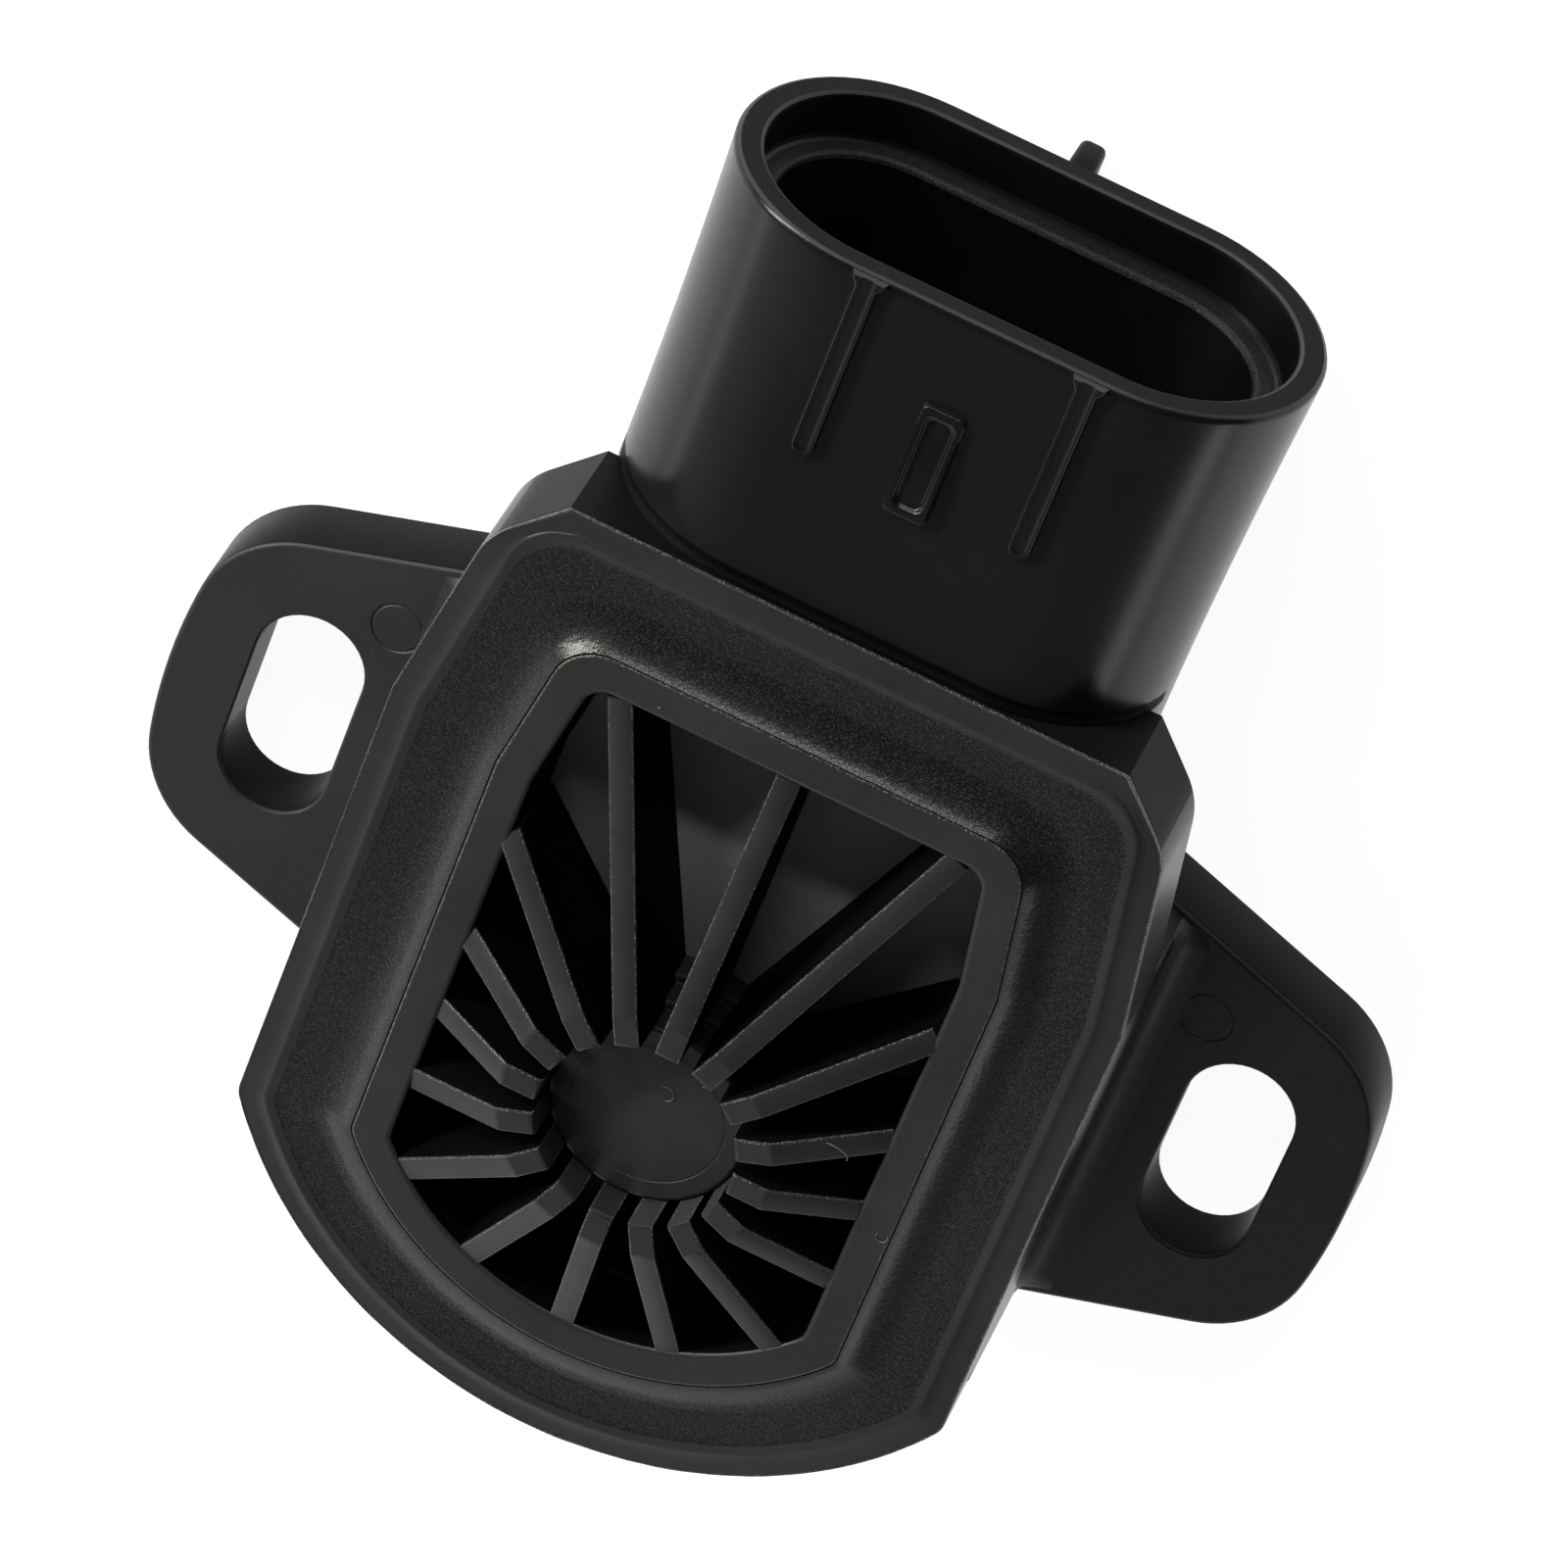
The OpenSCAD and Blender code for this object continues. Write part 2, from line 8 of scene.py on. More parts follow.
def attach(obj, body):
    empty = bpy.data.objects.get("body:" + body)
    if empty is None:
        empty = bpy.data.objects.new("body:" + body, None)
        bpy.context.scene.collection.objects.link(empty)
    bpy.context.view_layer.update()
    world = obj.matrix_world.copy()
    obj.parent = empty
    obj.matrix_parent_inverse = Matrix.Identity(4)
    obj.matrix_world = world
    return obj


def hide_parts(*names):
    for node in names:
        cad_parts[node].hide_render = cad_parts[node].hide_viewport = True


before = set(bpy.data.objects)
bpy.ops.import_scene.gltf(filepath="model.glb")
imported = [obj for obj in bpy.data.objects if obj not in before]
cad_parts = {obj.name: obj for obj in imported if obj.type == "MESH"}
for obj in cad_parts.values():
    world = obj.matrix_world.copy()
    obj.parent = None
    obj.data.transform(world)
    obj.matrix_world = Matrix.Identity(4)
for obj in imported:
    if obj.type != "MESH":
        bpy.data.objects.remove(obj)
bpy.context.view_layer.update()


# Camera
# A long lens looks down on the ribbed face from the plug socket's side. The sensor lies on
# its mounting face, turned so that the socket points to the upper right.
lens_px = 9303.32
photo_px = 1600
film_mm = 36.0
camera_place = (0.0228088, 0.2122825, 0.2857997)
image_right = Vector((0.898944, 0.314879, -0.304550))
image_down = Vector((0.432674, -0.746925, 0.504873))
into_scene = Vector((-0.068502, -0.585624, -0.807683))
camera = bpy.data.cameras.new("photo_view")
camera.sensor_width = film_mm
camera.lens = lens_px * film_mm / photo_px
camera.clip_start = 0.02
camera.clip_end = 20.0
viewer = bpy.data.objects.new("photo_view", camera)
bpy.context.scene.collection.objects.link(viewer)
turn = Matrix((image_right, -image_down, -into_scene)).transposed().to_4x4()
viewer.matrix_world = Matrix.Translation(camera_place) @ turn
bpy.context.scene.camera = viewer


# Floor and light
# The sensor lies on a large white card. A low window on the left lights the cove's corner, and
# a wall that is brightest in front of the round end gives the black plastic its grey sheen.
card_reach = 2.5
card_z = -0.00005
card_glow = 0.94
wall_bright_side = (-0.1, -0.9, -0.42)


def finish_nodes(name):
    """A new material with its node tree and its shader."""
    material = bpy.data.materials.new(name)
    material.use_nodes = True
    tree = material.node_tree
    return material, tree, tree.nodes["Principled BSDF"]


def link(tree, source, target):
    tree.links.new(source, target)


def shade_ramp(tree, source, low, high, start=0.0, end=1.0):
    """A colour that runs from low to high while the source goes from start to end."""
    ramp = tree.nodes.new("ShaderNodeValToRGB")
    ramp.color_ramp.elements[0].position = start
    ramp.color_ramp.elements[0].color = low
    ramp.color_ramp.elements[1].position = end
    ramp.color_ramp.elements[1].color = high
    link(tree, source, ramp.inputs["Fac"])
    return ramp


def grey(value):
    return (value, value, value, 1.0)


def card_white():
    """White card with a faint grain, lit evenly from within."""
    material, tree, shader = finish_nodes("card_white")
    grain = tree.nodes.new("ShaderNodeTexNoise")
    grain.inputs["Scale"].default_value = 40.0
    shade = shade_ramp(tree, grain.outputs["Fac"], grey(0.24), grey(0.27))
    link(tree, shade.outputs["Color"], shader.inputs["Base Color"])
    shader.inputs["Roughness"].default_value = 0.9
    shader.inputs["Emission Color"].default_value = grey(1.0)
    shader.inputs["Emission Strength"].default_value = card_glow
    return material


card = bpy.data.meshes.new("table_card")
card.from_pydata([(-card_reach, -card_reach, card_z), (card_reach, -card_reach, card_z),
                  (card_reach, card_reach, card_z), (-card_reach, card_reach, card_z)],
                 [], [(0, 1, 2, 3)])
table = bpy.data.objects.new("table_card", card)
table.data.materials.append(card_white())
bpy.context.scene.collection.objects.link(table)


def soft_box(name, place, width, height, power, along, colour=(1.0, 1.0, 1.0)):
    """A rectangular soft box that faces the part, with its width along a direction."""
    light = bpy.data.lights.new(name, "AREA")
    light.shape = "RECTANGLE"
    light.size = width
    light.size_y = height
    light.energy = power
    light.color = colour
    lamp = bpy.data.objects.new(name, light)
    back = Vector(place).normalized()
    side = (Vector(along) - back * back.dot(Vector(along))).normalized()
    facing = Matrix((side, back.cross(side), back)).transposed().to_4x4()
    lamp.matrix_world = Matrix.Translation(place) @ facing
    bpy.context.scene.collection.objects.link(lamp)


soft_box("window_left", (-0.77, 0.37, 0.45), 0.95, 0.07, 16.0, (0.45, 0.88, 0.0), (1.0, 0.98, 0.93))
soft_box("window_back", (-0.16, 0.84, 0.48), 0.40, 0.06, 2.2, (1.0, 0.1, 0.0))
soft_box("front_card", (-0.30, -1.10, 0.50), 1.1, 0.26, 1.2, (1.0, -0.15, 0.0))
soft_box("card_right", (0.95, -0.65, 0.22), 0.5, 0.20, 0.7, (0.65, 0.95, 0.0))
soft_box("card_left", (-0.90, -0.72, 0.20), 0.3, 0.12, 0.25, (0.65, -0.95, 0.0))


def studio_wall():
    """A room that is dark behind the socket and brightens towards the round end."""
    room = bpy.data.worlds.new("studio")
    room.use_nodes = True
    tree = room.node_tree
    around = tree.nodes.new("ShaderNodeTexCoord")
    towards = tree.nodes.new("ShaderNodeVectorMath")
    towards.operation = "DOT_PRODUCT"
    towards.inputs[1].default_value = wall_bright_side
    link(tree, around.outputs["Generated"], towards.inputs[0])
    span = tree.nodes.new("ShaderNodeMapRange")
    span.inputs["From Min"].default_value = -1.0
    link(tree, towards.outputs["Value"], span.inputs["Value"])
    wall = shade_ramp(tree, span.outputs["Result"],
                      (0.05, 0.05, 0.049, 1), (0.88, 0.88, 0.855, 1), 0.46, 0.82)
    middle = wall.color_ramp.elements.new(0.60)
    middle.color = (0.17, 0.17, 0.165, 1)
    background = tree.nodes["Background"]
    link(tree, wall.outputs["Color"], background.inputs["Color"])
    background.inputs["Strength"].default_value = 1.0
    return room


bpy.context.scene.world = studio_wall()
bpy.context.scene.view_settings.view_transform = "Standard"


# Ribbed face of the housing
# The whole housing is one moulding in black glass-filled nylon. Its face is a thick plate
# with a sparked cove between the border and a smooth raised frame round the ribbed pocket.
mm = 0.001
body_half = 15.05  # half the width across the flat sides
round_end = 17.3  # radius of the round end, about the rotor's axis
top_edge = 22.9  # distance from the axis to the straight end
shoulder = 12.0  # distance from the axis at which the sides start to lean in
lean = math.radians(8.9)
plate_foot = 10.4
border_z = 14.83
frame_z = 15.7
pocket_z = 12.1
opening_in = 6.25  # inset of the pocket's edge from the outline
corner_steps = 12
low_corner_round = 0.28
cut_corner_x = 11.3
cut_corner_slope = 1.07
cut_corner_round = 1.1
cove_from = 3.0  # inset at which the cove starts to rise
cove_z = 14.86
cove_bend = 2.23  # radius of the arc on which it rises
flash_in = 0.03
flash_low = 0.035
flash_rise = 0.05
flash_wave = 0.9
burr_and_sparkle_scale = 12500.0
# Painted shade on the pocket's floor: strongest at the first of these values of y, gone at the second.
pocket_dark_y = -0.001  # in metres: from here to the next value the pocket's floor gets lighter
pocket_light_y = 0.011


def object_noise(tree, place, scale, detail):
    """Noise that is fixed to the piece, and so moves with it."""
    texture = tree.nodes.new("ShaderNodeTexNoise")
    texture.inputs["Scale"].default_value = scale
    texture.inputs["Detail"].default_value = detail
    link(tree, place.outputs["Object"], texture.inputs["Vector"])
    return texture


def map_range(tree, source, start, end, low, high):
    """A value that runs from low to high while the source goes from start to end."""
    span = tree.nodes.new("ShaderNodeMapRange")
    span.inputs["From Min"].default_value = start
    span.inputs["From Max"].default_value = end
    span.inputs["To Min"].default_value = low
    span.inputs["To Max"].default_value = high
    link(tree, source, span.inputs["Value"])
    return span.outputs["Result"]


def mix_colour(tree, amount, colour, other):
    """A colour that turns into another one as the amount goes from 0 to 1."""
    blend = tree.nodes.new("ShaderNodeMix")
    blend.data_type = "RGBA"
    link(tree, amount, blend.inputs[0])
    link(tree, colour, blend.inputs[6])
    blend.inputs[7].default_value = other
    return blend.outputs[2]


def moulded_finish(name, shade, gloss, grain_mm, grain_depth,
                burr_and_sparkle=0.0, cloud=0.25, shine=0.3, painted_floor_shade=False, coat=0.0):
    """Moulded plastic or rubber: flow clouds in the gloss, a fine grain, and bright dots, painted sparkle
    on textured faces and pale burr on edges.

    The grain's size and depth are in millimetres. A painted shade, when asked for, darkens it
    towards the round end, and coat lays a thin gloss over the grain.
    """
    material, tree, shader = finish_nodes(name)
    place = tree.nodes.new("ShaderNodeTexCoord")
    clouds = object_noise(tree, place, 160.0, 3.0)
    grain = object_noise(tree, place, 1000.0 / grain_mm, 4.0)
    grain.inputs["Roughness"].default_value = 0.65
    tint = shade_ramp(tree, clouds.outputs["Fac"], (shade * 0.9, shade * 0.9, shade * 0.87, 1),
                      (shade * 1.12, shade * 1.12, shade * 1.06, 1), 0.3, 0.7)
    colour = tint.outputs["Color"]
    # Bright dots: painted sparkle of the textured face, and pale burr on the edges.
    if burr_and_sparkle > 0:
        dots = tree.nodes.new("ShaderNodeTexVoronoi")
        dots.inputs["Scale"].default_value = burr_and_sparkle_scale
        link(tree, place.outputs["Object"], dots.inputs["Vector"])
        pick = shade_ramp(tree, dots.outputs["Distance"], grey(1.0), grey(0.0), 0.0, 0.45)
        colour = mix_colour(tree, pick.outputs["Color"], colour, (burr_and_sparkle, burr_and_sparkle, burr_and_sparkle * 0.95, 1))
    # Painted shade: the pocket's floor turns almost black towards the round end, where the ribs and walls
    # shade it.
    if painted_floor_shade:
        spread = tree.nodes.new("ShaderNodeSeparateXYZ")
        link(tree, place.outputs["Object"], spread.inputs["Vector"])
        depth = map_range(tree, spread.outputs["Y"], pocket_dark_y, pocket_light_y, 0.98, 0.0)
        colour = mix_colour(tree, depth, colour, grey(0.001))
    link(tree, colour, shader.inputs["Base Color"])
    shader.inputs["Specular IOR Level"].default_value = shine
    dull = map_range(tree, clouds.outputs["Fac"], 0.25, 0.75, gloss * (1 - cloud), gloss * (1 + cloud))
    link(tree, dull, shader.inputs["Roughness"])
    bump = tree.nodes.new("ShaderNodeBump")
    bump.inputs["Strength"].default_value = 1.0
    bump.inputs["Distance"].default_value = grain_depth * mm
    link(tree, grain.outputs["Fac"], bump.inputs["Height"])
    link(tree, bump.outputs["Normal"], shader.inputs["Normal"])
    if coat > 0:
        shader.inputs["Coat Weight"].default_value = coat
        shader.inputs["Coat Roughness"].default_value = 0.15
        link(tree, bump.outputs["Normal"], shader.inputs["Coat Normal"])
    return material


satin_black = moulded_finish("satin_black", 0.0195, 0.46, 0.16, 0.012)
sparked_black = moulded_finish("sparked_black", 0.0065, 0.36, 0.20, 0.020,
                               burr_and_sparkle=0.060, shine=0.18, coat=0.36)
side_black = moulded_finish("side_black", 0.0070, 0.30, 0.5, 0.004, cloud=0.12, shine=0.15)
rim_black = moulded_finish("rim_black", 0.0055, 0.33, 0.3, 0.006, cloud=0.15, shine=0.04)
# The pocket's floor: painted light makes it far lighter than the nylon elsewhere, and painted shade
# darkens it towards the round end.
pocket_painted_light_shade = moulded_finish("pocket_painted_light_shade", 0.330, 0.45, 0.4, 0.030, painted_floor_shade=True)
# Painted shade: the same black nylon made almost black where it lies in shade, in the groove by the frame,
# on the pocket's wall, on the ribs' sides, round the socket's root and inside the socket.
painted_shade_black = moulded_finish("painted_shade_black", 0.0012, 0.55, 0.3, 0.010, shine=0.05)
# Pale edges with bright dots: burr on the border's flash, and a painted sheen on the frame's edge and the
# ribs' top edges.
burr_and_sheen_black = moulded_finish("burr_and_sheen_black", 0.022, 0.36, 0.20, 0.030, burr_and_sparkle=0.26, shine=0.5)


def lerp(a, b, t):
    return (a[0] + (b[0] - a[0]) * t, a[1] + (b[1] - a[1]) * t)


def steps(a, b, count):
    """Evenly spaced points from a up to, but not including, b."""
    return [lerp(a, b, i / count) for i in range(count)]


def arc(radius, start, end, count, centre=(0.0, 0.0)):
    """Points on an arc from one angle to another, both ends included."""
    return [(centre[0] + radius * math.cos(start + (end - start) * i / count),
             centre[1] + radius * math.sin(start + (end - start) * i / count))
            for i in range(count + 1)]


def soft_corner(a, corner, b, reach, count=5):
    """Points that turn from the line a-corner into corner-b on a short curve."""
    corner = Vector(corner)
    p = corner + (Vector(a) - corner).normalized() * reach
    q = corner + (Vector(b) - corner).normalized() * reach
    return [tuple(p * (1 - t) ** 2 + corner * 2 * t * (1 - t) + q * t * t)
            for t in [i / count for i in range(count + 1)]]


def face_line(inset, corner_r):
    """The face's outline, counter-clockwise from the lower right corner."""
    half = body_half - inset
    radius = round_end - inset
    top = top_edge - inset
    lean_d = math.cos(lean) * body_half + math.sin(lean) * shoulder - inset
    low_y = -math.sqrt(radius ** 2 - half ** 2)
    y_lean = (lean_d - half * math.cos(lean)) / math.sin(lean)
    a_in = math.atan2(low_y, half) - low_corner_round / radius
    arc_end = (radius * math.cos(a_in), radius * math.sin(a_in))
    low_right = soft_corner(arc_end, (half, low_y), (half, 0), low_corner_round)
    right = low_right + steps((half, low_y + 0.6), (half, y_lean), 12)
    # The upper corner is a fillet inside, and a cut corner with a crisp end at the outer edge.
    cy = top - corner_r
    cx = (lean_d - corner_r - cy * math.sin(lean)) / math.cos(lean)
    fillet = arc(corner_r, lean, math.pi / 2, corner_steps, (cx, cy))
    cut_end = Vector((cut_corner_x - 0.41 * inset, top - 0.1))
    meet_s = (lean_d - cut_end.x * math.cos(lean) - cut_end.y * math.sin(lean)) \
        / (math.cos(lean) - cut_corner_slope * math.sin(lean))
    meet = cut_end + Vector((1, -cut_corner_slope)) * meet_s
    start = meet + Vector((math.sin(lean), -math.cos(lean))) * cut_corner_round
    bend = soft_corner(start, meet, cut_end, cut_corner_round, corner_steps - 3)
    cut = bend + steps(bend[-1], tuple(cut_end), 3)[1:] + [tuple(cut_end)]
    crisp = max(0.0, 1 - inset)
    corner = [lerp(f, c, crisp) for f, c in zip(fillet, cut)]
    up = right + steps((half, y_lean), corner[0], 8) + corner
    top_line = steps(corner[-1], (-corner[-1][0], corner[-1][1]), 24)[1:]
    left = [(-x, y) for x, y in reversed(up)]
    bottom = arc(radius, -math.pi - a_in, a_in, 64)[1:-1]
    return up + top_line + left + bottom


def piece(name, vertices, faces, finishes, sharp):
    """Makes a piece with a finish on each face, turned outward, with its crisp edges kept."""
    mesh = bpy.data.meshes.new(name)
    mesh.from_pydata(vertices, [], faces)
    kinds = list(dict.fromkeys(finishes))
    for kind in kinds:
        mesh.materials.append(kind)
    mesh.polygons.foreach_set("material_index", [kinds.index(finish) for finish in finishes])
    work = bmesh.new()
    work.from_mesh(mesh)
    bmesh.ops.remove_doubles(work, verts=work.verts, dist=1e-7)
    bmesh.ops.recalc_face_normals(work, faces=work.faces)
    work.to_mesh(mesh)
    work.free()
    mesh.set_sharp_from_angle(angle=math.radians(sharp))
    level = [max(abs(c) for c in facet.normal) > 0.99999 for facet in mesh.polygons]
    mesh.polygons.foreach_set("use_smooth", [not flat for flat in level])
    made = bpy.data.objects.new(name, mesh)
    bpy.context.scene.collection.objects.link(made)
    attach(made, "body")
    return made


def shell(name, rings, bands, sharp):
    """A skin through closed rings of equal count, in millimetres, closed by flat ends.

    Each band is the finish between two rings.
    """
    count = len(rings[0])
    vertices = [(x * mm, y * mm, z * mm) for ring in rings for x, y, z in ring]
    faces, finishes = [], []
    for i, finish in enumerate(bands):
        for j in range(count):
            k = (j + 1) % count
            faces.append((i * count + j, i * count + k, (i + 1) * count + k, (i + 1) * count + j))
            finishes.append(finish)
    faces.append(tuple(reversed(range(count))))
    faces.append(tuple(range((len(rings) - 1) * count, len(rings) * count)))
    return piece(name, vertices, faces, finishes + [bands[0], bands[-1]], sharp)


def refinish(made, choose):
    """Gives each facet the finish that choose returns for it and its finish so far."""
    kinds = made.data.materials
    for facet in made.data.polygons:
        finish = choose(facet, kinds[facet.material_index])
        if finish.name not in kinds:
            kinds.append(finish)
        facet.material_index = kinds.find(finish.name)


def flash(x, y):
    """Height of the thin flash left along the border's edge."""
    wave = noise.noise(Vector((x * flash_wave, y * flash_wave, 3.0)))
    return flash_low + flash_rise * max(0.0, wave + 0.25)


def band(finish, *stations):
    """Stations of the face's section (inset, height, corner radius) that share a finish."""
    return [station + (finish,) for station in stations]


def plate_side(facet, finish):
    """The plate's two flat sides shine more than its ends."""
    on_side = finish == rim_black and abs(facet.normal.x) > 0.85
    return side_black if on_side else finish


# The outer wall, the worn edge with its flash, and the border with its soft ridge.
face_profile = band(rim_black, (0.00, plate_foot, 3.3), (0.00, 10.6, 3.3), (0.00, 14.55, 3.3),
                    (0.00, 14.74, 3.3))
face_profile += band(burr_and_sheen_black, (flash_in, 14.80, 3.3), (0.09, border_z, 3.3))
face_profile += band(satin_black, (0.16, border_z, 3.2), (0.60, 14.85, 2.9), (0.95, 14.87, 2.6),
                     (1.03, 14.92, 2.5), (1.10, 14.935, 2.5), (1.20, 14.925, 2.5), (1.45, 14.88, 2.6))
# The cove's level floor, and the arc on which it rises to the frame.
face_profile += band(sparked_black, (1.60, 14.87, 2.8), (2.00, 14.865, 3.0), (2.60, cove_z, 3.3))
for tilt in [math.radians(degrees) for degrees in (0, 8, 15, 21, 27, 32, 37, 41, 45, 48, 50)]:
    inset = cove_from + cove_bend * math.sin(tilt)
    corner_r = max(2.0, 3.3 - 0.8 * (inset - cove_from))
    face_profile += band(sparked_black, (inset, cove_z + cove_bend * (1 - math.cos(tilt)), corner_r))
# The thin groove and the pocket's wall, dark with painted shade, the raised frame with a painted highlight
# on its edge, and the pocket's floor with painted light and shade.
face_profile += band(painted_shade_black, (4.74, 15.64, 2.0), (4.77, 15.65, 2.0))
face_profile += band(burr_and_sheen_black, (4.80, 15.685, 2.0), (4.85, frame_z, 1.9))
face_profile += band(satin_black, (4.90, frame_z, 1.9), (6.05, frame_z, 1.1), (6.17, 15.69, 1.0),
                     (opening_in, 15.62, 1.0))
face_profile += band(painted_shade_black, (6.29, 15.5, 1.0), (6.34, 13.4, 1.0), (6.44, 13.3, 1.0),
                     (6.50, 12.2, 1.0))
face_profile += band(pocket_painted_light_shade, (6.60, pocket_z, 1.0))
face_rings = []
for inset, z, corner_r, finish in face_profile:
    face_rings.append([(x, y, z + (flash(x, y) if inset == flash_in else 0.0))
                       for x, y in face_line(inset, corner_r)])
face_plate = shell("face_plate", face_rings, [station[3] for station in face_profile[1:]], sharp=40.0)
refinish(face_plate, plate_side)
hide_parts("housing")


# Ribs in the pocket
# Sixteen thin ribs are moulded with the housing and stiffen the face over the rotor's pivot.
# Each is level beside the hub and slopes down to the frame, with painted shade on its
# sides and burr with a painted sheen on its top edges.
rib_count = 16
rib_half = 0.5
rib_foot_half = 0.58
rib_top_z = 17.6
rib_bend = 5.5
rib_foot_z = 14.4
long_rib = 16.0  # a rib longer than this ends a little short of the pocket's edge
long_rib_short = 0.15
hub_r = 3.95
# Sides and foot carry painted shade, the rounded top edges burr and a painted sheen.
rib_finishes = (painted_shade_black, burr_and_sheen_black, burr_and_sheen_black, satin_black,
                burr_and_sheen_black, burr_and_sheen_black, painted_shade_black, painted_shade_black)


def opening_reach(angle):
    """Distance from the axis to the pocket's edge at an angle."""
    c, s = math.cos(angle), math.sin(angle)
    side = (body_half - opening_in) / max(abs(c), 1e-3)
    if s < 0:
        return min(side, round_end - opening_in)
    flank = (math.cos(lean) * body_half + math.sin(lean) * shoulder - opening_in) \
        / (abs(c) * math.cos(lean) + s * math.sin(lean))
    return min(side, flank, (top_edge - opening_in) / max(s, 1e-3))


def rib_section(top):
    """A rib's outline at a height of its top: distance across and height, side by side."""
    foot = (rib_foot_half, pocket_z - 0.2)
    half = [foot, (rib_half, top - 0.09), (rib_half - 0.02, top - 0.025), (rib_half - 0.07, top)]
    return [(-side, z) for side, z in half] + half[::-1]


def rib(index):
    """A rib from the hub to the pocket's edge."""
    angle = math.pi / 2 - index * 2 * math.pi / rib_count
    far = opening_reach(angle)
    if far > long_rib:
        far -= long_rib_short
    fall = (rib_top_z - frame_z + 0.02) / (far - rib_bend)
    stations = [(hub_r - 0.25, rib_foot_z), (hub_r + 0.03, rib_foot_z), (hub_r + 0.03, rib_top_z - 0.12),
                (hub_r + 0.08, rib_top_z - 0.03), (hub_r + 0.2, rib_top_z), (rib_bend - 0.12, rib_top_z),
                (rib_bend, rib_top_z - 0.02), (rib_bend + 0.12, rib_top_z - 0.12 * fall - 0.03)]
    for i in range(1, 7):
        r = rib_bend + 0.12 + (far - rib_bend) * i / 6
        stations.append((r, rib_top_z - (r - rib_bend) * fall - 0.02))
    axis = Vector((math.cos(angle), math.sin(angle)))
    across = Vector((-math.sin(angle), math.cos(angle)))
    vertices = []
    for r, top in stations:
        for side, z in rib_section(top):
            p = axis * r + across * side
            vertices.append((p.x * mm, p.y * mm, z * mm))
    n = len(rib_finishes)
    faces, finishes = [], []
    for i in range(len(stations) - 1):
        for j in range(n):
            k = (j + 1) % n
            faces.append((i * n + j, i * n + k, (i + 1) * n + k, (i + 1) * n + j))
            finishes.append(rib_finishes[j])
    faces.append(tuple(reversed(range(n))))
    faces.append(tuple(range((len(stations) - 1) * n, len(stations) * n)))
    made = piece("rib_%02d" % index, vertices, faces, finishes + [satin_black] * 2, sharp=30.0)
    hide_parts("housing")


for index in range(rib_count):
    rib(index)


# Hub
# The round boss where the ribs meet holds the rotor's pivot from above. It is moulded with the
# housing, rises in three steps with soft edges, and has a faint ring sunk in its top.
hub_z = 15.9
hub_step = 0.42
hub_steps = 3
hub_ring_r = 3.05


def circle_line(radius, count=96, centre=(0.0, 0.0)):
    return arc(radius, 0.0, 2 * math.pi, count, centre)[:-1]


hub_fall = (hub_z - pocket_z) / hub_steps
hub_profile = [(hub_r + (hub_steps - 1) * hub_step + 0.05, pocket_z - 0.2)]
for level in reversed(range(hub_steps)):
    r, z = hub_r + level * hub_step, hub_z - level * hub_fall
    hub_profile += [(r + 0.02, z - 0.26), (r, z - 0.17), (r - 0.02, z - 0.08),
                    (r - 0.08, z - 0.02), (r - 0.17, z + 0.005)]
    if level:
        hub_profile += [(r - hub_step + 0.10, z + 0.005), (r - hub_step + 0.04, z + 0.05)]
hub_profile += [(hub_ring_r + 0.07, hub_z + 0.005), (hub_ring_r + 0.05, hub_z - 0.012),
                (hub_ring_r, hub_z - 0.012), (hub_ring_r - 0.03, hub_z), (1.0, hub_z)]
hub_rings = [[(x, y, z) for x, y in circle_line(r)] for r, z in hub_profile]
hub = shell("hub", hub_rings, [satin_black] * (len(hub_rings) - 1), sharp=30.0)
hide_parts("housing")


# Flange and ears
# The flange lies on the throttle body, and its two ears carry slots for M4 screws. Its back is
# recessed for the cover and the face seal, and the ears bear the round marks of ejector pins.
flange_t = 3.1
flange_r = 14.4
ear_reach = 25.4
ear_corner = 5.0
ear_slope = math.radians(19)
recess_r = 11.2
recess_top = 2.8
chamber_r = 10.8
slot_x = 20.0
slot_half_w = 2.25
slot_half_l = 4.75
ejector_x = 17.3
ejector_y = 6.0
ejector_r = 1.05


def flange_line(inset):
    """Outline of the two-eared flange, counter-clockwise from the right ear's tip."""
    normal = Vector((math.sin(ear_slope), math.cos(ear_slope)))
    along = Vector((math.cos(ear_slope), -math.sin(ear_slope)))
    inner = flange_r - ear_corner
    centre = normal * inner + along * math.sqrt((ear_reach - ear_corner) ** 2 - inner ** 2)
    tip_a = math.atan2(centre.y, centre.x)
    edge_a = math.pi / 2 - ear_slope
    quarter = arc(ear_reach - inset, 0.0, tip_a, 6)[:-1]
    quarter += arc(ear_corner - inset, tip_a, edge_a, 12, centre)
    quarter += steps(quarter[-1], tuple(normal * (flange_r - inset)), 10)[1:]
    quarter += arc(flange_r - inset, edge_a, math.pi / 2, 12)
    upper = quarter + [(-x, y) for x, y in reversed(quarter[:-1])]
    return upper + [(-x, -y) for x, y in upper]


def slot_line(x, grow):
    """Outline of a screw slot, counter-clockwise, a little wider or narrower than its size."""
    top = arc(slot_half_w + grow, 0.0, math.pi, 20, (x, slot_half_l - slot_half_w))
    return top + [(2 * x - px, -py) for px, py in top]


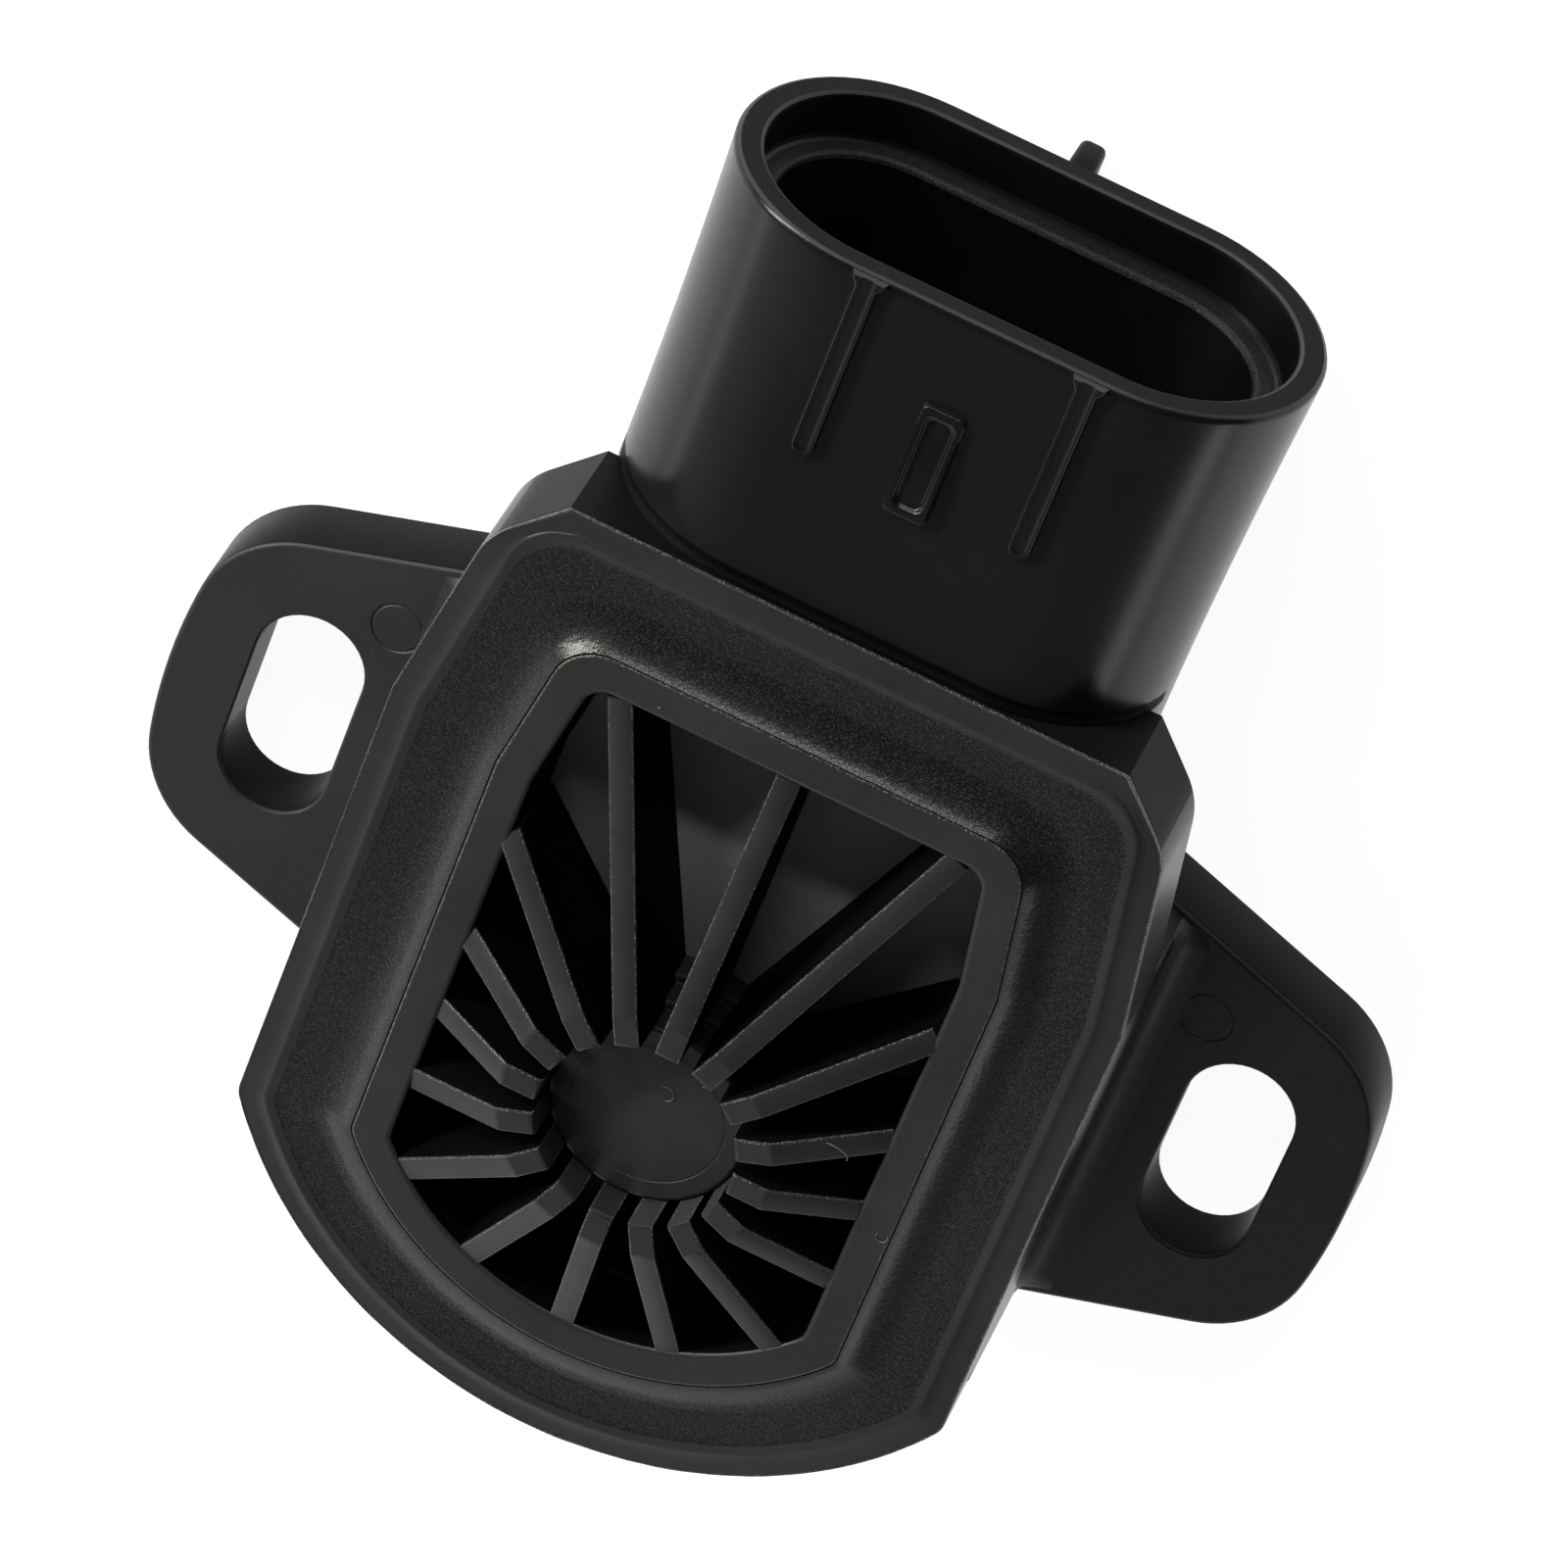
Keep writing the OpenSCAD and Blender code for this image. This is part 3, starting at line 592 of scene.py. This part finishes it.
class Moulding:
    """Gathers walls and flat lids with holes into one closed mesh."""

    def __init__(self):
        self.vertices, self.faces, self.finishes = [], [], []

    def ring(self, points, z):
        first = len(self.vertices)
        self.vertices += [(x * mm, y * mm, z * mm) for x, y in points]
        return list(range(first, first + len(points)))

    def wall(self, finish, *lines):
        """Joins rings, given as points and a height, and returns the first and the last."""
        rings = [self.ring(points, z) for points, z in lines]
        for a, b in zip(rings, rings[1:]):
            for j in range(len(a)):
                k = (j + 1) % len(a)
                self.faces.append((a[j], a[k], b[k], b[j]))
                self.finishes.append(finish)
        return rings[0], rings[-1]

    def lid(self, finish, outline, *holes):
        """A flat lid inside an outline, with holes in it."""
        loops = [outline, *holes]
        order = [i for loop in loops for i in loop]
        places = [[Vector(self.vertices[i]) for i in loop] for loop in loops]
        for triangle in tessellate_polygon(places):
            self.faces.append(tuple(order[i] for i in triangle))
            self.finishes.append(finish)

    def make(self, name, sharp):
        return piece(name, self.vertices, self.faces, self.finishes, sharp)


flange = Moulding()
foot, _ = flange.wall(rim_black, (flange_line(0.10), 0.0), (flange_line(0.02), 0.03),
                      (flange_line(0.0), 0.10), (flange_line(0.04), 2.88), (flange_line(0.06), 2.98))
_, brow = flange.wall(satin_black, (flange_line(0.06), 2.98), (flange_line(0.10), 3.05),
                      (flange_line(0.16), 3.09), (flange_line(0.24), flange_t))
holes_low, holes_high = [], []
for side in (-1, 1):
    x = side * slot_x
    low, _ = flange.wall(rim_black, (slot_line(x, 0.12), 0.0), (slot_line(x, 0.0), 0.12),
                         (slot_line(x, 0.0), 3.00))
    _, high = flange.wall(satin_black, (slot_line(x, 0.0), 3.00), (slot_line(x, 0.02), 3.05),
                          (slot_line(x, 0.10), flange_t))
    centre = (side * ejector_x, ejector_y)
    mark_edge, mark_top = flange.wall(satin_black, *[
        (circle_line(ejector_r + grow, 40, centre), z)
        for grow, z in ((0.07, flange_t), (0.03, 3.06), (-0.03, 3.06), (-0.07, 3.09))])
    flange.lid(satin_black, mark_top)
    holes_low.append(low)
    holes_high += [high, mark_edge]
recess_low, recess_high = flange.wall(
    satin_black, (circle_line(recess_r + 0.15), 0.0), (circle_line(recess_r), 0.15),
    (circle_line(recess_r), recess_top), (circle_line(chamber_r), recess_top),
    (circle_line(chamber_r), flange_t))
flange.lid(satin_black, foot, *holes_low, recess_low)
flange.lid(satin_black, brow, *holes_high, recess_high)
ears = flange.make("flange_and_ears", sharp=35.0)
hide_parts("housing")


# Lower body
# Between the flange and the face plate the housing is a drum with flat flanks, hollow for the
# rotor. A soft fillet is moulded where its flanks stand on the ears.
flank_z = flange_t + 1.2


def body_line(spread):
    """The flange's outline, cut off flush with the flat sides of the face, or a little wider."""
    half = body_half + spread
    points = []
    for (x, y), (x_in, y_in) in zip(flange_line(-0.01), flange_line(0.27)):
        between_ears = abs(x) < body_half - 0.3
        points.append((x, y) if between_ears else (max(-half, min(half, x_in)), y_in))
    return points


def body_finish(facet, finish):
    """The round ends are dull, the upright flanks shine, and the fillet is satin."""
    if abs(facet.center.x) <= (body_half - 0.2) * mm:
        return rim_black
    return side_black if facet.normal.z < 0.05 else finish


body = Moulding()
low, _ = body.wall(satin_black, *[
    (body_line(spread), flange_t + rise)
    for spread, rise in ((1.35, -0.4), (1.35, -0.02), (1.10, 0.02), (0.80, 0.09),
                         (0.50, 0.22), (0.25, 0.45), (0.08, 0.80), (0.0, 1.2))])
_, high = body.wall(side_black, (body_line(0.0), flank_z), (body_line(0.0), plate_foot))
low_in, high_in = body.wall(satin_black, (circle_line(chamber_r), flange_t - 0.4),
                            (circle_line(chamber_r), plate_foot))
body.lid(satin_black, low, low_in)
body.lid(satin_black, high, high_in)
drum = body.make("lower_body", sharp=50.0)
refinish(drum, body_finish)
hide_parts("housing")


# Plug socket
# An oval shroud moulded with the housing, a little wider at its mouth than at its root. Its
# mouth is stepped for the plug's seal, and a curved foot blends it into the face plate.
socket_z = 8.3
mouth_y = 37.5
mouth_half = 11.55
mouth_half_h = 6.4
root_half = 11.15
root_half_h = 6.15
root_y = 23.7
drum_r = 12.8
rim = 1.15
ledge = 1.0
ledge_y = 35.5
socket_floor = 24.9
tube_black = moulded_finish("tube_black", 0.0060, 0.25, 0.6, 0.005, cloud=0.10, shine=0.26)
ledge_black = moulded_finish("ledge_black", 0.008, 0.36, 0.12, 0.050, burr_and_sparkle=0.05, shine=0.25)


def oval_line(half_w, half_h):
    """An oval counter-clockwise about its centre, as pairs across and up."""
    right = arc(half_h, -math.pi / 2, math.pi / 2, 32, (half_w - half_h, 0.0))
    left = [(-x, -y) for x, y in right]
    flat_top = steps(right[-1], left[0], 20)[1:]
    flat_low = steps(left[-1], right[0], 20)[1:]
    return right + flat_top + left + flat_low


def oval_ring(half_w, half_h, y, flare=0.0):
    """A ring of the socket at a distance y; flare widens its upper half."""
    points = []
    for x, up in oval_line(half_w, half_h):
        weight = flare * min(1.0, max(0.0, (up - 1.2) / 1.5))
        out = Vector((x / half_w, up / half_h)).normalized() * weight
        points.append((x + out.x * 0.6, y, socket_z + up + out.y))
    return points


def root_ring():
    """The shroud's hidden end: under the face plate it reaches further in, to the drum."""
    points = []
    for x, up in oval_line(root_half, root_half_h):
        rise = min(1.0, max(0.0, (socket_z + up - plate_foot - 0.1) / 1.4))
        under = math.sqrt(drum_r ** 2 - x * x)
        points.append((x, under + (18.6 - under) * rise, socket_z + up))
    return points


def shroud_size(y):
    """Half width and half height of the shroud at a distance y."""
    t = max(0.0, (y - top_edge) / (mouth_y - top_edge)) ** 1.8
    return (root_half + (mouth_half - root_half) * t, root_half_h + (mouth_half_h - root_half_h) * t)


def mouth_ring(inset, y):
    return oval_ring(mouth_half - inset, mouth_half_h - inset, y)


def root_line(facet, finish):
    """The line of painted shade round the shroud's root ends below the plate."""
    below = facet.center.y < 0.0238 and facet.center.z < (socket_z + 1.0) * mm
    return tube_black if finish == painted_shade_black and below else finish


shroud_rings = [root_ring(), oval_ring(root_half, root_half_h, 20.5)]
shroud_bands = [tube_black]
# The bands where the shroud meets the plate carry painted shade, a dark line round its root.
for y, flare, finish in ((22.8, 0.20, tube_black), (22.9, 0.16, painted_shade_black), (22.97, 0.11, painted_shade_black),
                         (23.03, 0.06, painted_shade_black), (23.12, 0.03, painted_shade_black),
                         (23.3, 0.01, painted_shade_black), (root_y, 0.0, tube_black)):
    shroud_rings.append(oval_ring(*shroud_size(y), y, flare))
    shroud_bands.append(finish)
for i in range(1, 9):
    y = root_y + (mouth_y - 0.35 - root_y) * i / 8
    shroud_rings.append(oval_ring(*shroud_size(y), y))
    shroud_bands.append(tube_black)
hole = rim + ledge
# The two narrow satin bands on the rim's rounded edges are lighter than the rim: painted highlights. The
# walls inside the mouth and the bore are dark with painted shade.
for inset, y, finish in (
        (0.01, mouth_y - 0.2, tube_black), (0.07, mouth_y - 0.07, tube_black), (0.2, mouth_y, satin_black),
        (0.32, mouth_y, rim_black), (rim - 0.32, mouth_y, rim_black), (rim - 0.2, mouth_y, rim_black),
        (rim - 0.06, mouth_y - 0.08, satin_black), (rim, mouth_y - 0.22, painted_shade_black),
        (rim + 0.03, ledge_y + 0.25, painted_shade_black), (rim + 0.08, ledge_y + 0.06, tube_black),
        (rim + 0.22, ledge_y, tube_black), (hole - 0.2, ledge_y, ledge_black),
        (hole - 0.06, ledge_y - 0.07, ledge_black), (hole, ledge_y - 0.22, ledge_black),
        (hole + 0.2, socket_floor + 0.6, painted_shade_black), (hole + 0.5, socket_floor, painted_shade_black)):
    shroud_rings.append(mouth_ring(inset, y))
    shroud_bands.append(finish)
socket_shell = shell("socket_shroud", shroud_rings, shroud_bands, sharp=40.0)
refinish(socket_shell, root_line)
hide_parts("housing")


# Guide ribs and locking ramp
# Two low ribs moulded on the shroud's front guide the plug's latch, which hooks behind the
# ramp between them. The ramp rises from the mouth and has a shallow sink in its top.
guide_x = 4.33
guide_half = 0.48
guide_from = 28.9
guide_rise = 0.34
ramp_from = 28.5
ramp_to = 33.75
sunk = -0.06
skirt = 0.4


def front_z(y):
    """Height of the shroud's front at a distance y."""
    return socket_z + shroud_size(y)[1]


def smooth(edge0, edge1, value):
    """0 before the first edge, 1 past the second, and a soft rise between them."""
    t = min(1.0, max(0.0, (value - edge0) / (edge1 - edge0)))
    return t * t * (3 - 2 * t)


def raised(name, x0, x1, y0, y1, height, across, along):
    """A low form raised from the shroud's front, as a fine grid with a skirt sunk into it."""
    vertices, faces = [], []
    for j in range(along + 1):
        y = y0 + (y1 - y0) * j / along
        for i in range(across + 1):
            x = x0 + (x1 - x0) * i / across
            vertices.append((x * mm, y * mm, (front_z(y) + height(x, y)) * mm))
    row = across + 1
    for j in range(along):
        for i in range(across):
            faces.append((j * row + i, j * row + i + 1, (j + 1) * row + i + 1, (j + 1) * row + i))
    edge = list(range(row)) + [j * row + across for j in range(1, along + 1)] \
        + [along * row + i for i in range(across - 1, -1, -1)] + [j * row for j in range(along - 1, 0, -1)]
    base = len(vertices)
    vertices += [(x, y, z - skirt * mm) for x, y, z in [vertices[i] for i in edge]]
    n = len(edge)
    for i in range(n):
        k = (i + 1) % n
        faces.append((edge[i], edge[k], base + k, base + i))
    faces.append(tuple(range(base, base + n)))
    made = piece(name, vertices, faces, [tube_black] * len(faces), sharp=60.0)
    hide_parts("housing")


def guide_height(centre_x):
    """Height of a guide rib: a round foot, a flare at the mouth and a crown that is a little low."""
    def height(x, y):
        dx = abs(x - centre_x)
        dy = max(0.0, 29.2 + guide_half - y)
        width = guide_half + 0.22 * smooth(36.9, 37.3, y)
        d = math.hypot(dx, dy) if dy > 0 else dx
        top = guide_rise - 0.08 * smooth(0.34, 0.16, d)
        return sunk + (top - sunk) * smooth(width + 0.05, width - 0.13, d)
    return height


def ramp_height(x, y):
    """Height of the ramp, a low block with a shallow sink in its top."""
    rise = 0.22 + 0.20 * smooth(33.6, 29.6, y)
    within = smooth(0.34, 0.20, math.hypot(max(0.0, abs(x) - 0.60), max(0.0, 29.0 - y, y - 33.3)))
    sink = smooth(0.42, 0.22, math.hypot(max(0.0, abs(x) - 0.22), max(0.0, 29.5 - y, y - 32.8)))
    return sunk + (rise - sunk - 0.20 * sink) * within


for name, x in (("guide_rib_left", -guide_x), ("guide_rib_right", guide_x)):
    raised(name, x - 0.95, x + 0.95, guide_from, mouth_y - 0.1, guide_height(x), 44, 130)
raised("locking_ramp", -1.05, 1.05, ramp_from, ramp_to, ramp_height, 44, 100)


# Coding fin
# The fin moulded on the shroud's back stops a plug from going in the wrong way round. Its foot
# is sunk into the shroud, and its edges are rounded.
fin_half = 0.55
fin_low_half = 0.52
fin_from = 31.5
fin_round = 0.3
fin_top = socket_z - mouth_half_h + 0.5


def rounded_block(name, corners, reach, finish):
    """A block between eight corners, the first four at one end, with rounded edges."""
    mesh = bpy.data.meshes.new(name)
    work = bmesh.new()
    ends = [work.verts.new([c * mm for c in corner]) for corner in corners]
    for loop in ((0, 1, 2, 3), (4, 5, 6, 7), (0, 1, 5, 4), (1, 2, 6, 5), (2, 3, 7, 6), (3, 0, 4, 7)):
        work.faces.new([ends[i] for i in loop])
    bmesh.ops.recalc_face_normals(work, faces=work.faces)
    bmesh.ops.bevel(work, geom=work.edges[:], offset=reach * mm, segments=3, profile=0.5,
                    affect="EDGES", clamp_overlap=True)
    work.to_mesh(mesh)
    work.free()
    mesh.materials.append(finish)
    mesh.polygons.foreach_set("use_smooth", [True] * len(mesh.polygons))
    mesh.set_sharp_from_angle(angle=math.radians(40))
    made = bpy.data.objects.new(name, mesh)
    bpy.context.scene.collection.objects.link(made)
    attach(made, "body")
    return made


fin_section = ((-fin_low_half, 0.0), (fin_low_half, 0.0), (fin_half, fin_top), (-fin_half, fin_top))
fin_corners = [(x, y, z) for y in (fin_from, mouth_y) for x, z in fin_section]
fin = rounded_block("coding_fin", fin_corners, fin_round, rim_black)
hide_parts("housing")


# Lint
# A few curled fibres and two crumbs of pale lint lie loose on the face, as on any part that has
# stood on a shelf. They are thin arcs of round thread.
fibre_r = 0.018
crumb_r = 0.035
fibre_turns = 22
fibre_sides = 6


def pale_lint():
    """Pale thread, patchy along its length."""
    material, tree, shader = finish_nodes("pale_lint")
    place = tree.nodes.new("ShaderNodeTexCoord")
    patches = object_noise(tree, place, 6000.0, 2.0)
    shade = shade_ramp(tree, patches.outputs["Fac"], (0.05, 0.05, 0.045, 1), (0.22, 0.21, 0.19, 1))
    link(tree, shade.outputs["Color"], shader.inputs["Base Color"])
    shader.inputs["Roughness"].default_value = 0.8
    return material


lint = pale_lint()


def fibre(name, centre, z, radius, start, sweep, squeeze=1.0, thick=fibre_r):
    """A curled fibre: an arc of thread that opens by a quarter and lies on a face at height z."""
    rings = []
    for i in range(fibre_turns + 1):
        a = math.radians(start + sweep * i / fibre_turns)
        r = radius * (1 + 0.25 * i / fibre_turns)
        middle = Vector((centre[0] + r * math.cos(a), centre[1] + r * squeeze * math.sin(a), z + thick))
        out = Vector((math.cos(a), math.sin(a), 0))
        up = Vector((0, 0, 1))
        rings.append([tuple(middle + out * thick * math.cos(t) + up * thick * math.sin(t))
                      for t in [2 * math.pi * j / fibre_sides for j in range(fibre_sides)]])
    shell(name, rings, [lint] * fibre_turns, sharp=32.0)


fibre("fibre_hub", (0.38, 1.2), hub_z, 0.28, -80, 210)
fibre("fibre_frame", (9.95, -0.6), frame_z, 0.20, 150, 240)
fibre("fibre_rib", (7.05, 3.10), 17.12, 0.62, -5, 120, squeeze=0.45)
fibre("crumb_hub", (1.6, 2.3), hub_z, 0.03, 0, 180, thick=crumb_r)
fibre("crumb_frame", (-5.4, 17.1), frame_z, 0.03, 0, 180, thick=crumb_r)


# Terminals
# Three blades of tinned brass stand in the socket. They are pressed from strip, and pass
# through the socket's floor to the element board.
def metal(name, colour, dull, scratch):
    """Bright metal with fine lines that run along Y the more, the smaller scratch is."""
    material, tree, shader = finish_nodes(name)
    place = tree.nodes.new("ShaderNodeTexCoord")
    stretch = tree.nodes.new("ShaderNodeMapping")
    stretch.inputs["Scale"].default_value = (1.0, scratch, 1.0)
    link(tree, place.outputs["Object"], stretch.inputs["Vector"])
    lines = tree.nodes.new("ShaderNodeTexNoise")
    lines.inputs["Scale"].default_value = 900.0
    lines.inputs["Detail"].default_value = 3.0
    link(tree, stretch.outputs["Vector"], lines.inputs["Vector"])
    tint = shade_ramp(tree, lines.outputs["Fac"], tuple(c * 0.85 for c in colour) + (1,),
                      tuple(min(1, c * 1.1) for c in colour) + (1,))
    link(tree, tint.outputs["Color"], shader.inputs["Base Color"])
    wear = map_range(tree, lines.outputs["Fac"], 0.0, 1.0, dull * 0.8, dull * 1.3)
    link(tree, wear, shader.inputs["Roughness"])
    shader.inputs["Metallic"].default_value = 1.0
    return material


def give(finish, *nodes):
    """Puts a finish on solids of the frame."""
    for node in nodes:
        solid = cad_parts[node]
        solid.data.materials.clear()
        solid.data.materials.append(finish)


tinned_brass = metal("tinned_brass", (0.62, 0.61, 0.58), 0.32, 0.15)
give(tinned_brass, "terminal_left", "terminal_middle", "terminal_right")


# Return spring and drive clip
# The spring of bright drawn wire turns the rotor back. The clip of the same steel sits in the
# rotor's bore and takes up the play on the shaft's flat.
spring_steel = metal("spring_wire", (0.55, 0.55, 0.56), 0.28, 0.1)
give(spring_steel, "return_spring", "drive_clip")


# Wiper, contacts and thrust washer
# The wiper and the contact strips are stamped from springy bronze sheet, and two rivets hold
# the wiper on the rotor's arm. The washer runs between the rotor and the hub.
bronze = metal("contact_bronze", (0.72, 0.48, 0.24), 0.3, 0.2)
give(bronze, "thrust_washer", "wiper", "wiper_rivet_a", "wiper_rivet_b",
     "contact_left", "contact_middle", "contact_right")


# Rotor
# The rotor's sleeve, arm and pivot are one moulding in pale undyed nylon. It turns in the hub's
# bore and in the back cover.
give(moulded_finish("rotor_nylon", 0.30, 0.45, 0.4, 0.01), "rotor")


# Back cover
# A plate moulded in dark nylon, pressed into the back of the housing, with a bore for the
# rotor's sleeve.
give(moulded_finish("cover_nylon", 0.030, 0.5, 0.4, 0.02), "back_cover")


# Seals
# Two rings of matt black rubber: one in the groove of the back, against the throttle body, and
# one with a lip round the rotor's sleeve.
give(moulded_finish("seal_rubber", 0.015, 0.62, 0.3, 0.01), "rotor_seal", "face_seal")


# Element board and tracks
# A plate of laminate carries two arcs of printed carbon ink, which the wiper reads, and three
# printed silver pads under the contact strips.
give(moulded_finish("board_laminate", 0.10, 0.4, 0.5, 0.004), "element_board")
give(moulded_finish("carbon_ink", 0.02, 0.55, 0.2, 0.004), "resistive_track", "collector_track")
give(metal("pad_silver", (0.7, 0.7, 0.68), 0.5, 1.0), "pad_left", "pad_middle", "pad_right")
